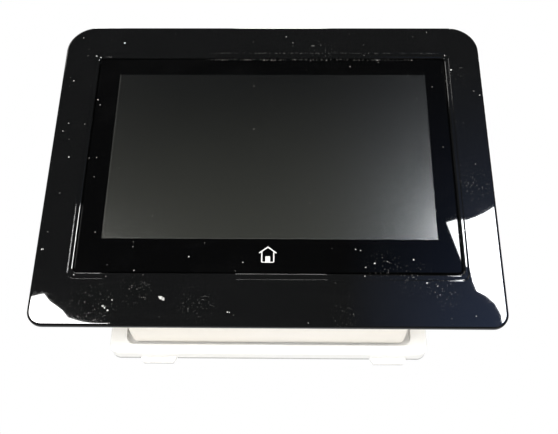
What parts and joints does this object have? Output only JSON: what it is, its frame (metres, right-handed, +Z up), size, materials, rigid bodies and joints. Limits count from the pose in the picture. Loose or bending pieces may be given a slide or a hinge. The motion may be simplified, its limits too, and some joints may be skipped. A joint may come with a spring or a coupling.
{
  "type": "alarm keypad panel",
  "caption": "Wall-mounted touch-screen alarm panel: glossy black frame and lens with a home key, white rear housing hooked on a shallow wall plate with finger latches.",
  "frame": {"origin": "middle of the wall plate's back, on the wall plane y = 0", "axes": "+Z up, +Y into the wall, +X to the right of a person who faces the screen; the screen looks along -Y"},
  "size_m": [0.2096, 0.037, 0.1684],
  "materials": {
    "bezel_black": "mirror-gloss black moulding",
    "lens_black": "polished cover glass printed black behind, with a dark window over the screen",
    "icon_white": "white printed ink",
    "tape_black": "black foam tape",
    "sensor_film": "clear film",
    "display_dark": "dark display glass",
    "screen_steel": "zinc-plated sheet",
    "housing_white": "fine satin white moulding",
    "plate_white": "fine satin white moulding",
    "latch_white": "satin white moulding",
    "screw_steel": "plated steel screws",
    "spring_steel": "bright spring wire",
    "board_green": "green solder mask",
    "chip_black": "black chip packages",
    "shield_tin": "tinned can",
    "terminal_green": "green terminal moulding",
    "radio_can": "tinned can",
    "antenna_copper": "copper foil",
    "connector_cream": "cream nylon",
    "ribbon_amber": "amber flexible circuit",
    "sounder_black": "black moulding",
    "switch_black": "black moulding",
    "plunger_white": "white acetal",
    "battery_wrap": "blue shrink sleeve",
    "foam_grey": "grey foam",
    "lead_black": "insulated wire",
    "speaker_black": "black moulding",
    "pin_steel": "ground steel",
    "bumper_grey": "soft grey rubber"
  },
  "bodies": {
    "wall_plate": {"wall_plate": "plate_white", "bumper_pads": "bumper_grey", "latch_spring_right": "spring_steel", "latch_spring_left": "spring_steel"},
    "panel": {"front_bezel": "bezel_black", "cover_lens": "lens_black", "home_icon": "icon_white", "lens_tape": "tape_black", "touch_sensor": "sensor_film", "display_glass": "display_dark", "backlight_tray": "screen_steel", "screen_bracket": "screen_steel", "bracket_screws": "screw_steel", "rear_housing": "housing_white", "housing_screws": "screw_steel", "main_board": "board_green", "board_screws": "screw_steel", "processor_shield": "shield_tin", "board_chips": "chip_black", "terminal_block": "terminal_green", "terminal_screws": "screw_steel", "radio_module": "radio_can", "radio_antenna": "antenna_copper", "ribbon_connector": "connector_cream", "display_ribbon": "ribbon_amber", "piezo_sounder": "sounder_black", "tamper_switch": "switch_black", "tamper_spring": "spring_steel", "backup_battery": "battery_wrap", "battery_pad": "foam_grey", "battery_plug": "connector_cream", "battery_lead": "lead_black", "speaker_gasket": "foam_grey", "speaker_driver": "speaker_black", "speaker_box": "speaker_black", "pivot_pins": "pin_steel"},
    "latch_right": {"release_latch_right": "latch_white"},
    "latch_left": {"release_latch_left": "latch_white"},
    "tamper": {"tamper_plunger": "plunger_white"}
  },
  "joints": [
    {"name": "panel_swing", "type": "hinge", "parent": "wall_plate", "child": "panel", "pos_m": [0, -0.0085, 0.0435], "axis": [-1, 0, 0], "range_deg": [0, 20]},
    {"name": "latch_right_press", "type": "slide", "parent": "wall_plate", "child": "latch_right", "axis": [0, 0, 1], "range_m": [0, 0.0022], "stiffness_N_per_m": 500, "springref_m": -0.002, "deforming": ["latch_spring_right"]},
    {"name": "latch_left_press", "type": "slide", "parent": "wall_plate", "child": "latch_left", "axis": [0, 0, 1], "range_m": [0, 0.0022], "stiffness_N_per_m": 500, "springref_m": -0.002, "deforming": ["latch_spring_left"]},
    {"name": "tamper_press", "type": "slide", "parent": "panel", "child": "tamper", "axis": [0, 1, 0], "range_m": [0, 0.002], "stiffness_N_per_m": 150, "springref_m": 0.0025, "deforming": ["tamper_spring"]}
  ]
}
